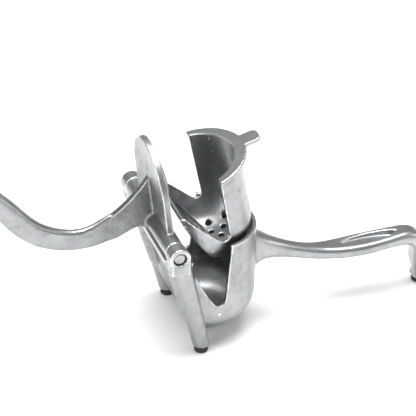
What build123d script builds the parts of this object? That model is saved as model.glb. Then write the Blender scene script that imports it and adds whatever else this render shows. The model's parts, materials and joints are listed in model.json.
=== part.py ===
from build123d import *
import os

os.makedirs("parts", exist_ok=True)

# Citrus press with its lever open and its strainer lifted. Millimetres, +Z up.
# The hinge pin lies along Y. Profiles are given as (x, z) from the hinge axis.

# hinge
hinge_x = -27.642
hinge_z = 71.0
pin_radius = 3.75
running_clearance = 0.05
seat_clearance = 0.02
boss_radius = 6.0
boss_inner_y = 37.0
boss_outer_y = 46.0
pin_recess = 1.2
pin_round = 1.6
barrel_room = 1.0

# cup
cup_x = 24.5
cup_radius = 33.3
cup_wall = 2.5
rim_z = -6.0
cup_bottom_z = -65.0
cup_round = 20.0
side_wall_top_z = -14.0

# flared side walls between the cup and the bosses
flare_top_z = -7.5
flare_low_z = -46.0
flare_top_y = 39.0
flare_low_y = 33.0
flare_wall = 2.8
notch_half = 36.4
leg_side_x = 9.5

# legs and feet
leg_foot_x = 17.3
leg_foot_y = 31.0
leg_top_radius = 5.2
leg_foot_radius = 4.8
foot_radius = 3.9
foot_height = 4.0
foot_round = 0.8
rear_foot_x = 163.0

# thumb scoop in the grip
scoop_x = 129.5
scoop_z = -21.0
scoop_depth = 16.9
scoop_half_length = 19.0
scoop_half_width = 5.6
scoop_taper = 6.0

# lever
plate_angle = 97.0
plate_reach = 23.5
plate_radius = 26.5
plate_thickness = 4.0
plate_dome = 5.0
dome_radius = 23.0
barrel_radius = 5.5
barrel_half = 36.6
web_thickness = 4.4

# strainer
strainer_top_radius = 30.3
strainer_low_radius = 26.6
strainer_low_z = -40.0
strainer_bottom_z = -58.5
strainer_round = 17.0
strainer_wall = 2.0
strainer_front_x = 8.0
flange_top_z = -3.4
flange_gap = 0.3
flange_radius = 33.6
side_rim_radius = 31.6
tab_width = 11.0
tab_reach = 68.0
hole_diameter = 3.6
hole_centre_x = 30.5
hole_rings = ((0, 1, 0), (7.5, 6, 0), (14.5, 9, 20))  # radius, count, first angle
hole_cut = 24.0
lift_axis_x = -96.0
lift_axis_z = -8.0
lift_angle = 17.0


def at(x, z):
    """A point of a side profile, from the hinge axis to the part's frame."""
    return (hinge_x + x, hinge_z + z)


side_plane = Plane.XZ
half_span = 60.0
behind_x = 90.0
above_z = 30.0
floor_z = -hinge_z


def bowl(top_radius, low_radius, low_z, bottom_z, corner, top_z, front):
    """A round bowl, tapered and rounded below, with its front cut to the given side profile."""
    with BuildPart() as shape:
        with BuildSketch(side_plane):
            with BuildLine():
                wall = Line(at(cup_x + top_radius, top_z), at(cup_x + low_radius, low_z))
                turn = Spline(
                    at(cup_x + low_radius, low_z),
                    at(cup_x + low_radius - 0.29 * corner, bottom_z + 0.29 * corner),
                    at(cup_x + low_radius - corner, bottom_z),
                    tangents=(wall % 1, (-1, 0)),
                )
                Polyline(turn @ 1, at(cup_x, bottom_z), at(cup_x, top_z), wall @ 0)
            make_face()
        revolve(axis=Axis((hinge_x + cup_x, 0, 0), (0, 0, 1)))
        with BuildSketch(side_plane):
            with BuildLine():
                edge = Spline(*[at(x, z) for x, z in front])
                Polyline(
                    edge @ 1, at(behind_x, front[-1][1]), at(behind_x, top_z + 1), at(front[0][0], top_z + 1),
                    edge @ 0,
                )
            make_face()
        extrude(amount=half_span, both=True, mode=Mode.INTERSECT)
    return shape.part


def notch(left_top, left_mid, bottom_left, bottom_right, right_top, clear_from, clear_z):
    """The V-shaped opening across both side walls, with the swing of the plate above it."""
    with BuildPart() as shape:
        with BuildSketch(side_plane):
            with BuildLine():
                flat = Line(at(clear_from, clear_z), at(*left_top))
                slope = Spline(flat @ 1, at(*left_mid), at(*bottom_left))
                round_end = TangentArc(slope @ 1, at(*bottom_right), tangent=slope % 1)
                Polyline(
                    round_end @ 1, at(*right_top), at(right_top[0], above_z), at(clear_from, above_z),
                    flat @ 0,
                )
            make_face()
        extrude(amount=half_span, both=True)
    return shape.part


def bar(stations):
    """A rounded bar lofted through (x, z, direction, height, half width) stations."""
    with BuildPart() as shape:
        for x, z, direction, height, half_width in stations:
            px, pz = at(x, z)
            along = Vector(1, 0, 0).rotate(Axis.Y, -direction)
            with BuildSketch(Plane(origin=(px, 0, pz), x_dir=(0, 1, 0), z_dir=along)):
                RectangleRounded(2 * half_width, height, 0.42 * min(2 * half_width, height))
        loft()
    return shape.part


# ---- body casting: cup, bosses, front legs, handle and rear leg ----
front_profile = [(-1, rim_z), (-1, -16), (6.5, -33), (10.5, -50), (18, cup_bottom_z)]
inner_front = [(x + cup_wall, z) for x, z in front_profile]
cup_floor_z = cup_bottom_z + cup_wall
inner_front[-1] = (inner_front[-1][0], cup_floor_z)
cup_outer = bowl(
    cup_radius, cup_radius, cup_bottom_z + cup_round, cup_bottom_z, cup_round, rim_z, front_profile,
)
cavity = bowl(
    cup_radius - cup_wall, cup_radius - cup_wall, cup_bottom_z + cup_round, cup_floor_z,
    cup_round - cup_wall, rim_z + 12, inner_front,
)
cup_notch = notch(
    (9.5, side_wall_top_z), (17.0, -29), (24.2, -41), (30.8, -41), (34.2, rim_z), -20, side_wall_top_z,
)

handle = bar([
    (53.5, -27.0, 0, 30, 10.5), (59.0, -28.0, 0, 22, 8.0), (66.0, -30.0, -12, 14.5, 6.0),
    (80.0, -34.4, -14, 9.4, 4.6), (94.0, -38.2, -9, 7.6, 5.2), (112.0, -40.0, 0, 7.2, 7.6),
    (130.0, -39.4, 3, 7.2, 8.4), (146.0, -38.2, 2, 7.6, 7.4), (156.5, -39.6, -25, 9.0, 6.8),
    (161.8, -47.0, -72, 10.0, 7.2), (rear_foot_x, -58.0, -86, 10.0, 7.0),
    (rear_foot_x, floor_z + foot_height, -90, 9.6, 6.4),
])

# the notches run between the legs, and out through the side walls behind them
slab_length, slab_height = 400.0, 400.0
with BuildPart() as slab:
    with BuildSketch(Plane.XZ):
        Rectangle(slab_length, slab_height)
    extrude(amount=notch_half, both=True)
    with BuildSketch(Plane.XZ):
        with Locations(at(leg_side_x + slab_length / 4, 0)):
            Rectangle(slab_length / 2, slab_height)
    extrude(amount=flare_top_y + 1, both=True)

with BuildPart() as body_casting:
    add(cup_outer)
    for side in (-1, 1):
        # the side wall flares out from the cup to carry the boss
        with BuildSketch(Plane.XY.offset(hinge_z + flare_top_z)):
            with Locations((hinge_x + 4.5, side * (flare_top_y - 3.5))):
                RectangleRounded(19, 7.4, 3)
        with BuildSketch(Plane.XY.offset(hinge_z + flare_low_z)):
            with Locations((hinge_x + 15.0, side * (flare_low_y - 4.5))):
                RectangleRounded(18, 9, 3)
        loft()
        # the boss stands on a short pillar
        with BuildSketch(Plane.XZ.offset(side * -boss_inner_y)):
            with Locations(at(0, 0)):
                Circle(boss_radius)
            with Locations(at(0.6, -5.5)):
                Rectangle(2 * boss_radius - 1.6, 9)
        extrude(amount=-side * (boss_outer_y - boss_inner_y))
        # tapered leg from the boss to the foot
        leg_top = Vector(hinge_x + 1.5, side * 40.5, hinge_z - 3.0)
        leg_end = Vector(hinge_x + leg_foot_x, side * leg_foot_y, foot_height)
        with BuildSketch(Plane.XY.offset(leg_top.Z)):
            with Locations((leg_top.X, leg_top.Y)):
                Circle(leg_top_radius)
        with BuildSketch(Plane.XY.offset(leg_end.Z)):
            with Locations((leg_end.X, leg_end.Y)):
                Circle(leg_foot_radius)
        loft()
    add(handle)
    add(cavity, mode=Mode.SUBTRACT)
    # the hollow widens towards the hinge, behind the flared side walls
    with BuildSketch(Plane.XY.offset(hinge_z + flare_top_z)):
        with Locations((hinge_x + 16.5, 0)):
            Rectangle(28, 2 * (flare_top_y - flare_wall))
    with BuildSketch(Plane.XY.offset(hinge_z + flare_low_z)):
        with Locations((hinge_x + 21.5, 0)):
            Rectangle(17, 2 * (flare_low_y - 5.6))
    loft(mode=Mode.SUBTRACT)
    # the notches stop at the inner ends of the bosses and legs
    add(cup_notch & slab.part, mode=Mode.SUBTRACT)
    # room for the lever's barrel between the bosses
    with BuildSketch(Plane.XZ):
        with Locations(at(0, 0)):
            Circle(barrel_radius + barrel_room)
    extrude(amount=boss_inner_y, both=True, mode=Mode.SUBTRACT)
    # bore for the hinge pin
    with BuildSketch(Plane.XZ):
        with Locations(at(0, 0)):
            Circle(pin_radius + seat_clearance)
    extrude(amount=half_span, both=True, mode=Mode.SUBTRACT)
    # thumb scoop in the grip
    with BuildSketch(Plane.XY.offset(hinge_z + scoop_z)):
        with Locations((hinge_x + scoop_x, 0)):
            Ellipse(scoop_half_length, scoop_half_width)
    extrude(amount=-scoop_depth, taper=scoop_taper, mode=Mode.SUBTRACT)
body_casting.part.label = "body_casting"
export_step(body_casting.part, "parts/body_casting.step")

# ---- hinge pin ----
pin_half = boss_outer_y - pin_recess
with BuildPart() as hinge_pin:
    with BuildSketch(Plane.XZ):
        with Locations(at(0, 0)):
            Circle(pin_radius)
    extrude(amount=pin_half, both=True)
    fillet(hinge_pin.edges().filter_by(GeomType.CIRCLE), radius=pin_round)
hinge_pin.part.label = "hinge_pin"
export_step(hinge_pin.part, "parts/hinge_pin.step")

# ---- rubber feet ----
foot_places = {
    "front_foot_left": (leg_foot_x, leg_foot_y),
    "front_foot_right": (leg_foot_x, -leg_foot_y),
    "rear_foot": (rear_foot_x, 0),
}
for name, (x, y) in foot_places.items():
    with BuildPart() as foot:
        with BuildSketch(Plane.XY):
            with Locations((hinge_x + x, y)):
                Circle(foot_radius)
        extrude(amount=foot_height)
        fillet(foot.edges().group_by(Axis.Z)[0], radius=foot_round)
    foot.part.label = name
    export_step(foot.part, f"parts/{name}.step")

# ---- press lever: barrel, plate with its domed pressing face, web and arm ----
plate_up = Vector(1, 0, 0).rotate(Axis.Y, -plate_angle)
plate_normal = Vector(1, 0, 0).rotate(Axis.Y, 90 - plate_angle)
hinge_point = Vector(hinge_x, 0, hinge_z)
plate_back = Plane(origin=hinge_point - plate_normal * 0.5, x_dir=(0, 1, 0), z_dir=plate_normal)

arm = bar([
    (-21.0, 0.9, 203, 14.0, 1.7), (-31.0, -2.8, 194, 14.0, 2.0), (-44.0, -5.2, 180, 12.2, 2.6),
    (-58.5, -2.2, 155, 12.6, 3.2), (-71.5, 5.6, 136, 13.0, 4.0), (-80.0, 14.8, 130, 13.0, 4.6),
    (-88.6, 25.6, 126, 11.4, 5.0), (-96.5, 38.5, 117, 8.6, 5.8), (-102.5, 53.0, 108, 6.2, 6.8),
    (-106.4, 70.0, 100, 4.8, 7.6), (-108.8, 88.0, 96, 4.4, 7.6), (-110.2, 104.0, 94, 4.4, 6.6),
    (-111.0, 114.0, 94, 4.2, 4.4),
])


def on_plate(along, out):
    """A point of the plate's side profile, along the plate and out of its pressing face."""
    point = plate_back.origin + plate_up * along + plate_normal * out
    return (point.X, point.Z)


dome_foot = plate_thickness - 0.6
with BuildPart() as dome:
    with BuildSketch(Plane.XZ):
        with BuildLine():
            curve = TangentArc(
                on_plate(plate_reach, plate_thickness + plate_dome),
                on_plate(plate_reach + dome_radius, dome_foot),
                tangent=(plate_up.X, plate_up.Z),
            )
            Polyline(curve @ 1, on_plate(plate_reach, dome_foot), curve @ 0)
        make_face()
    revolve(axis=Axis(plate_back.origin + plate_up * plate_reach, plate_normal))
with BuildPart() as press_lever:
    with BuildSketch(Plane.XZ):
        with Locations(at(0, 0)):
            Circle(barrel_radius)
    extrude(amount=barrel_half, both=True)
    with BuildSketch(plate_back):
        with Locations((0, plate_reach)):
            Circle(plate_radius)
        with Locations((0, plate_reach / 2)):
            Rectangle(2 * plate_radius, plate_reach)
    extrude(amount=plate_thickness)
    add(dome.part)
    # the web that carries the arm stands on the back of the plate
    with BuildSketch(Plane.XZ):
        with BuildLine():
            top = Spline(at(1.0, 36.0), at(-9.0, 21.5), at(-18.0, 12.2), at(-26.0, 6.2))
            low = Spline(at(-26.5, -8.4), at(-16.0, -4.4), at(-10.0, -2.6), at(-4.0, -5.0))
            Line(top @ 1, low @ 0)
            Polyline(low @ 1, at(2.0, -4.0), at(2.0, 30.0), top @ 0)
        make_face()
    extrude(amount=web_thickness / 2, both=True)
    add(arm)
    with BuildSketch(Plane.XZ):
        with Locations(at(0, 0)):
            Circle(pin_radius + running_clearance)
    extrude(amount=half_span, both=True, mode=Mode.SUBTRACT)
press_lever.part.label = "press_lever"
export_step(press_lever.part, "parts/press_lever.step")

# ---- strainer, made in its seat and then lifted ----
strainer_front = [
    (strainer_front_x, rim_z), (strainer_front_x, -20), (strainer_front_x + 4.0, -38),
    (22, strainer_bottom_z),
]
inner_bottom_z = strainer_bottom_z + strainer_wall
strainer_inner_front = [(x + strainer_wall, z) for x, z in strainer_front]
strainer_inner_front[-1] = (strainer_inner_front[-1][0], inner_bottom_z)
strainer_outer = bowl(
    strainer_top_radius, strainer_low_radius, strainer_low_z, strainer_bottom_z, strainer_round, flange_top_z,
    strainer_front,
)
strainer_inner = bowl(
    strainer_top_radius - strainer_wall, strainer_low_radius - strainer_wall, strainer_low_z, inner_bottom_z,
    strainer_round - 1, flange_top_z + 12, strainer_inner_front,
)
strainer_notch = notch((10.5, -20), (17.5, -31), (25.0, -42), (31.0, -42), (34.6, rim_z), -20, -20)
flange_thickness = flange_top_z - rim_z - flange_gap

with BuildPart() as strainer:
    add(strainer_outer)
    with BuildSketch(Plane.XY.offset(hinge_z + flange_top_z)):
        with Locations((hinge_x + cup_x, 0)):
            Circle(side_rim_radius)
        with Locations((hinge_x + cup_x + flange_radius - side_rim_radius + 0.6, 0)):
            Circle(side_rim_radius)
        with Locations((hinge_x + tab_reach - 11, 0)):
            RectangleRounded(22, tab_width, 3.5)
    extrude(amount=-flange_thickness)
    add(strainer_inner, mode=Mode.SUBTRACT)
    add(strainer_notch, mode=Mode.SUBTRACT)
    # juice holes through the bottom, in rings
    for radius, count, start in hole_rings:
        for turn in range(count):
            angle = start + 360 * turn / count
            place = Vector(radius, 0, 0).rotate(Axis.Z, angle)
            with Locations((hinge_x + hole_centre_x + place.X, place.Y, hinge_z + strainer_bottom_z)):
                Cylinder(hole_diameter / 2, hole_cut, mode=Mode.SUBTRACT)
lift_axis = Axis((hinge_x + lift_axis_x, 0, hinge_z + lift_axis_z), (0, 1, 0))
lifted_strainer = strainer.part.rotate(lift_axis, -lift_angle)
lifted_strainer.label = "strainer"
export_step(lifted_strainer, "parts/strainer.step")
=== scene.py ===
import json
from math import cos, radians, sin

import bpy
from mathutils import Matrix, Vector


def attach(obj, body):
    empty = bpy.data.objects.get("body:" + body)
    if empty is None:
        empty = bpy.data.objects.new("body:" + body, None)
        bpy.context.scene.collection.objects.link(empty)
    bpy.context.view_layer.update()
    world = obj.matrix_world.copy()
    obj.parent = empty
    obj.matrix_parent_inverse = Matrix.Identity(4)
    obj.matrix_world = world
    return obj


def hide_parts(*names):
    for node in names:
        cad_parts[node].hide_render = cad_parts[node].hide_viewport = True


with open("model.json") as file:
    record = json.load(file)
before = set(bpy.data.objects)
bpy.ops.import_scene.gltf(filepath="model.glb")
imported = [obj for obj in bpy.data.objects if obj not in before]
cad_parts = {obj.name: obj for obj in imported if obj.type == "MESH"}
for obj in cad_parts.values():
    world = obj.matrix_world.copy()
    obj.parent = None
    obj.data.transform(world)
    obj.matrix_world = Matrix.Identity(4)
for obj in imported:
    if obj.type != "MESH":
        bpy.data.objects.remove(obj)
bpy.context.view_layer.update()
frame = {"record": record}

mm = 0.001

# ---- places, from the frame's hinge ----
joints = {joint["name"]: joint for joint in frame["record"]["behaviour"]["joints"]}
hinge = Vector(joints["lever_hinge"]["pos_m"])
# centre of the painted shade inside the cup
cup_hollow = hinge + Vector((24.5, 0.0, -31.0)) * mm
# centre of the painted shade at the lever's web root, by the plate
web_root = hinge + Vector((-12.0, 0.0, 8.0)) * mm


# ---- procedural materials ----
class Nodes:
    """A small helper that adds and links shader nodes in one material."""

    def __init__(self, name):
        self.material = bpy.data.materials.new(name)
        self.material.use_nodes = True
        self.tree = self.material.node_tree
        self.tree.nodes.clear()
        output = self.add("ShaderNodeOutputMaterial")
        self.shader = self.add("ShaderNodeBsdfPrincipled")
        self.link(self.shader.outputs["BSDF"], output.inputs["Surface"])
        self.place = self.add("ShaderNodeTexCoord").outputs["Object"]

    def add(self, kind, **values):
        node = self.tree.nodes.new(kind)
        for key, value in values.items():
            setattr(node, key, value)
        return node

    def link(self, source, target):
        self.tree.links.new(source, target)

    def noise(self, scale, detail=3.0, roughness=0.5, stretch=None):
        node = self.add("ShaderNodeTexNoise")
        node.inputs["Scale"].default_value = scale
        node.inputs["Detail"].default_value = detail
        node.inputs["Roughness"].default_value = roughness
        place = self.place
        if stretch:
            mapping = self.add("ShaderNodeMapping")
            mapping.inputs["Scale"].default_value = stretch
            self.link(self.place, mapping.inputs["Vector"])
            place = mapping.outputs["Vector"]
        self.link(place, node.inputs["Vector"])
        return node.outputs["Fac"]

    def ramp(self, source, stops):
        node = self.add("ShaderNodeValToRGB")
        ramp = node.color_ramp
        while len(ramp.elements) < len(stops):
            ramp.elements.new(0.5)
        for element, (position, value) in zip(ramp.elements, stops):
            element.position = position
            color = value if isinstance(value, tuple) else (value, value, value)
            element.color = (*color, 1.0)
        self.link(source, node.inputs["Fac"])
        return node.outputs["Color"]

    def mix(self, factor, first, second, blend="MIX"):
        node = self.add("ShaderNodeMix", data_type="RGBA", blend_type=blend)
        if isinstance(factor, float):
            node.inputs["Factor"].default_value = factor
        else:
            self.link(factor, node.inputs["Factor"])
        self.link(first, node.inputs["A"])
        self.link(second, node.inputs["B"])
        return node.outputs["Result"]

    def near(self, centre, inner, outer):
        """1 within the inner distance of a point, fading to 0 at the outer one."""
        node = self.add("ShaderNodeVectorMath", operation="DISTANCE")
        self.link(self.place, node.inputs[0])
        node.inputs[1].default_value = centre
        return self.ramp(node.outputs["Value"], ((inner, 1.0), (outer, 0.0)))

    def bump(self, heights):
        normal = None
        for source, distance, strength in heights:
            node = self.add("ShaderNodeBump")
            node.inputs["Distance"].default_value = distance
            node.inputs["Strength"].default_value = strength
            self.link(source, node.inputs["Height"])
            if normal:
                self.link(normal, node.inputs["Normal"])
            normal = node.outputs["Normal"]
        self.link(normal, self.shader.inputs["Normal"])


def cast_aluminium(name, tone, grain_depth, roughness, mottling=1.0, painted_shade=None):
    """Tumbled cast aluminium: sandy skin, cloudy tone, soft pits and brighter rubbed edges.

    The optional (centre, inner, outer, shade) place is darkened with painted shade, standing in for
    shade that falls in a recess or corner.
    """
    n = Nodes(name)
    clouds = n.noise(26.0, 4.0, 0.6)
    mottle = n.noise(210.0, 5.0, 0.65)
    grain = n.noise(1500.0, 3.0, 0.6)
    pits = n.noise(620.0, 2.0, 0.5)
    cool_grey = (0.985, 0.99, 1.0)
    dark = tuple(tone * (1 - 0.20 * mottling) * channel for channel in cool_grey)
    light = tuple(tone * (1 + 0.12 * mottling) * channel for channel in cool_grey)
    base = n.ramp(clouds, ((0.32, dark), (0.70, light)))
    speckle = n.ramp(mottle, ((0.30, 0.80), (0.52, 0.97), (0.75, 1.0)))
    tint = n.mix(0.75 * mottling, base, speckle, "MULTIPLY")
    # painted shade: colour multiplied darker around the centre, fading out between the inner and outer
    # distances
    if painted_shade:
        centre, inner, outer, shade = painted_shade
        sand = n.noise(900.0, 4.0, 0.7)
        sandy_shade = n.ramp(sand, ((0.35, shade * 0.75), (0.65, shade * 1.15)))
        shaded = n.mix(1.0, tint, sandy_shade, "MULTIPLY")
        tint = n.mix(n.near(centre, inner, outer), tint, shaded)
    pointiness = n.add("ShaderNodeNewGeometry").outputs["Pointiness"]
    edge = n.ramp(pointiness, ((0.515, 0.0), (0.56, 1.0)))
    bright = n.ramp(grain, ((0.2, 0.80), (0.8, 0.92)))
    n.link(n.mix(edge, tint, bright), n.shader.inputs["Base Color"])
    n.shader.inputs["Metallic"].default_value = 1.0
    rough = n.ramp(mottle, ((0.25, roughness + 0.10), (0.75, roughness - 0.06)))
    smooth = n.ramp(edge, ((0.0, 1.0), (1.0, 0.62)))
    n.link(n.mix(1.0, rough, smooth, "MULTIPLY"), n.shader.inputs["Roughness"])
    n.bump((
        (clouds, 0.9 * mm, 0.25), (mottle, 0.16 * mm, grain_depth), (pits, 0.10 * mm, grain_depth * 0.8),
        (grain, 0.05 * mm, grain_depth),
    ))
    return n.material


def polished_steel():
    n = Nodes("pin_steel_turned")
    lines = n.noise(900.0, 2.0, 0.5, stretch=(1.0, 0.1, 1.0))
    smears = n.noise(160.0, 4.0, 0.6)
    n.link(n.ramp(smears, ((0.3, 0.30), (0.7, 0.46))), n.shader.inputs["Base Color"])
    n.shader.inputs["Metallic"].default_value = 1.0
    n.link(n.ramp(smears, ((0.3, 0.16), (0.7, 0.30))), n.shader.inputs["Roughness"])
    n.bump(((lines, 0.03 * mm, 0.4),))
    return n.material


def foot_rubber():
    n = Nodes("foot_rubber_matte")
    dust = n.noise(420.0, 5.0, 0.65)
    grain = n.noise(2400.0, 2.0, 0.5)
    n.link(n.ramp(dust, ((0.3, 0.012), (0.7, 0.035))), n.shader.inputs["Base Color"])
    n.link(n.ramp(dust, ((0.3, 0.62), (0.7, 0.85))), n.shader.inputs["Roughness"])
    n.bump(((grain, 0.04 * mm, 0.6),))
    return n.material


# ---- castings: remeshed so that every join has the soft fillet of a cast surface ----
def casting(node, body, name, voxel, smoothing, material):
    """The CAD casting as one skin, with blended joins and softened edges."""
    source = bpy.data.objects[node]
    piece = bpy.data.objects.new(name, source.data.copy())
    bpy.context.scene.collection.objects.link(piece)
    piece.data.materials.clear()
    piece.data.materials.append(material)
    remesh = piece.modifiers.new("skin", "REMESH")
    remesh.mode = "VOXEL"
    remesh.voxel_size = voxel
    soften = piece.modifiers.new("soften", "SMOOTH")
    soften.factor = 0.5
    soften.iterations = smoothing
    bpy.context.view_layer.update()
    evaluated = piece.evaluated_get(bpy.context.evaluated_depsgraph_get())
    mesh = bpy.data.meshes.new_from_object(evaluated)
    piece.modifiers.clear()
    piece.data = mesh
    mesh.materials.clear()
    mesh.materials.append(material)
    for polygon in mesh.polygons:
        polygon.use_smooth = True
    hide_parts(node)
    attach(piece, body)
    return piece


# the cup's hollow gets painted shade: its inside is darkened to stand in for shadow
body_metal = cast_aluminium(
    "cast_body", tone=0.40, grain_depth=0.45, roughness=0.34, painted_shade=(cup_hollow, 0.026, 0.032, 0.42),
)
# painted shade at the web root by the plate, standing in for the plate's dark reflection and the
# corner's shade
lever_metal = cast_aluminium(
    "cast_lever", tone=0.40, grain_depth=0.80, roughness=0.36, mottling=1.25,
    painted_shade=(web_root, 0.018, 0.042, 0.72),
)
strainer_metal = cast_aluminium("cast_strainer", tone=0.42, grain_depth=0.50, roughness=0.32)

casting("body_casting", "base", "body_casting_skin", voxel=0.55 * mm, smoothing=5, material=body_metal)
casting("press_lever", "lever", "press_lever_skin", voxel=0.55 * mm, smoothing=5, material=lever_metal)
casting("strainer", "bowl", "strainer_skin", voxel=0.45 * mm, smoothing=3, material=strainer_metal)

# ---- carried-over nodes get their own materials ----
steel, rubber = polished_steel(), foot_rubber()
finishes = {
    "hinge_pin": steel, "front_foot_left": rubber, "front_foot_right": rubber, "rear_foot": rubber,
}
for node, finish in finishes.items():
    for slot in bpy.data.objects[node].material_slots:
        slot.material = finish

# ---- floor ----
white = Nodes("pale_floor")
white.shader.inputs["Base Color"].default_value = (0.93, 0.93, 0.93, 1.0)
white.shader.inputs["Roughness"].default_value = 0.9
floor_mesh = bpy.data.meshes.new("floor")
reach = 6.0
corners = [(-reach, -reach, 0), (reach, -reach, 0), (reach, reach, 0), (-reach, reach, 0)]
floor_mesh.from_pydata(corners, [], [(0, 1, 2, 3)])
floor = bpy.data.objects.new("floor", floor_mesh)
bpy.context.scene.collection.objects.link(floor)
floor_mesh.materials.append(white.material)

# ---- camera at the photograph's angle ----
azimuth, elevation, distance = radians(-17.53), radians(30.89), 1.10
picture_width = 0.22983          # metres across the picture at the hinge
hinge_left, hinge_low = 0.12784, 0.02553  # the hinge from the picture's centre, in picture widths
back = Vector((sin(azimuth) * cos(elevation), -cos(azimuth) * cos(elevation), sin(elevation)))
camera_data = bpy.data.cameras.new("camera")
camera = bpy.data.objects.new("camera", camera_data)
bpy.context.scene.collection.objects.link(camera)
right = Vector((0, 0, 1)).cross(back).normalized()
up = back.cross(right)
camera.matrix_world = Matrix((
    (right.x, up.x, back.x, 0), (right.y, up.y, back.y, 0), (right.z, up.z, back.z, 0), (0, 0, 0, 1),
))
camera.location = hinge + back * distance
camera_data.sensor_width = 36.0
camera_data.lens = camera_data.sensor_width * distance / picture_width
camera_data.shift_x = hinge_left
camera_data.shift_y = hinge_low
camera_data.clip_end = 50.0
bpy.context.scene.camera = camera


# ---- soft studio light ----
def panel(name, location, size, power, target=hinge):
    light = bpy.data.lights.new(name, "AREA")
    light.shape = "RECTANGLE"
    light.size, light.size_y = size
    light.energy = power
    lamp = bpy.data.objects.new(name, light)
    bpy.context.scene.collection.objects.link(lamp)
    lamp.location = location
    lamp.rotation_euler = (Vector(location) - target).to_track_quat("Z", "Y").to_euler()
    return lamp


panel("overhead", (0.0, 0.1, 1.3), (1.1, 0.9), 26.0)
panel("left_window", (-1.2, -0.6, 0.8), (0.7, 1.0), 9.0)
panel("right_fill", (1.2, -0.5, 0.6), (0.6, 0.8), 4.0)
world = bpy.data.worlds.new("studio")
world.use_nodes = True
world.node_tree.nodes["Background"].inputs["Color"].default_value = (1, 1, 1, 1)
world.node_tree.nodes["Background"].inputs["Strength"].default_value = 0.42
bpy.context.scene.world = world
bpy.context.scene.view_settings.view_transform = "Standard"
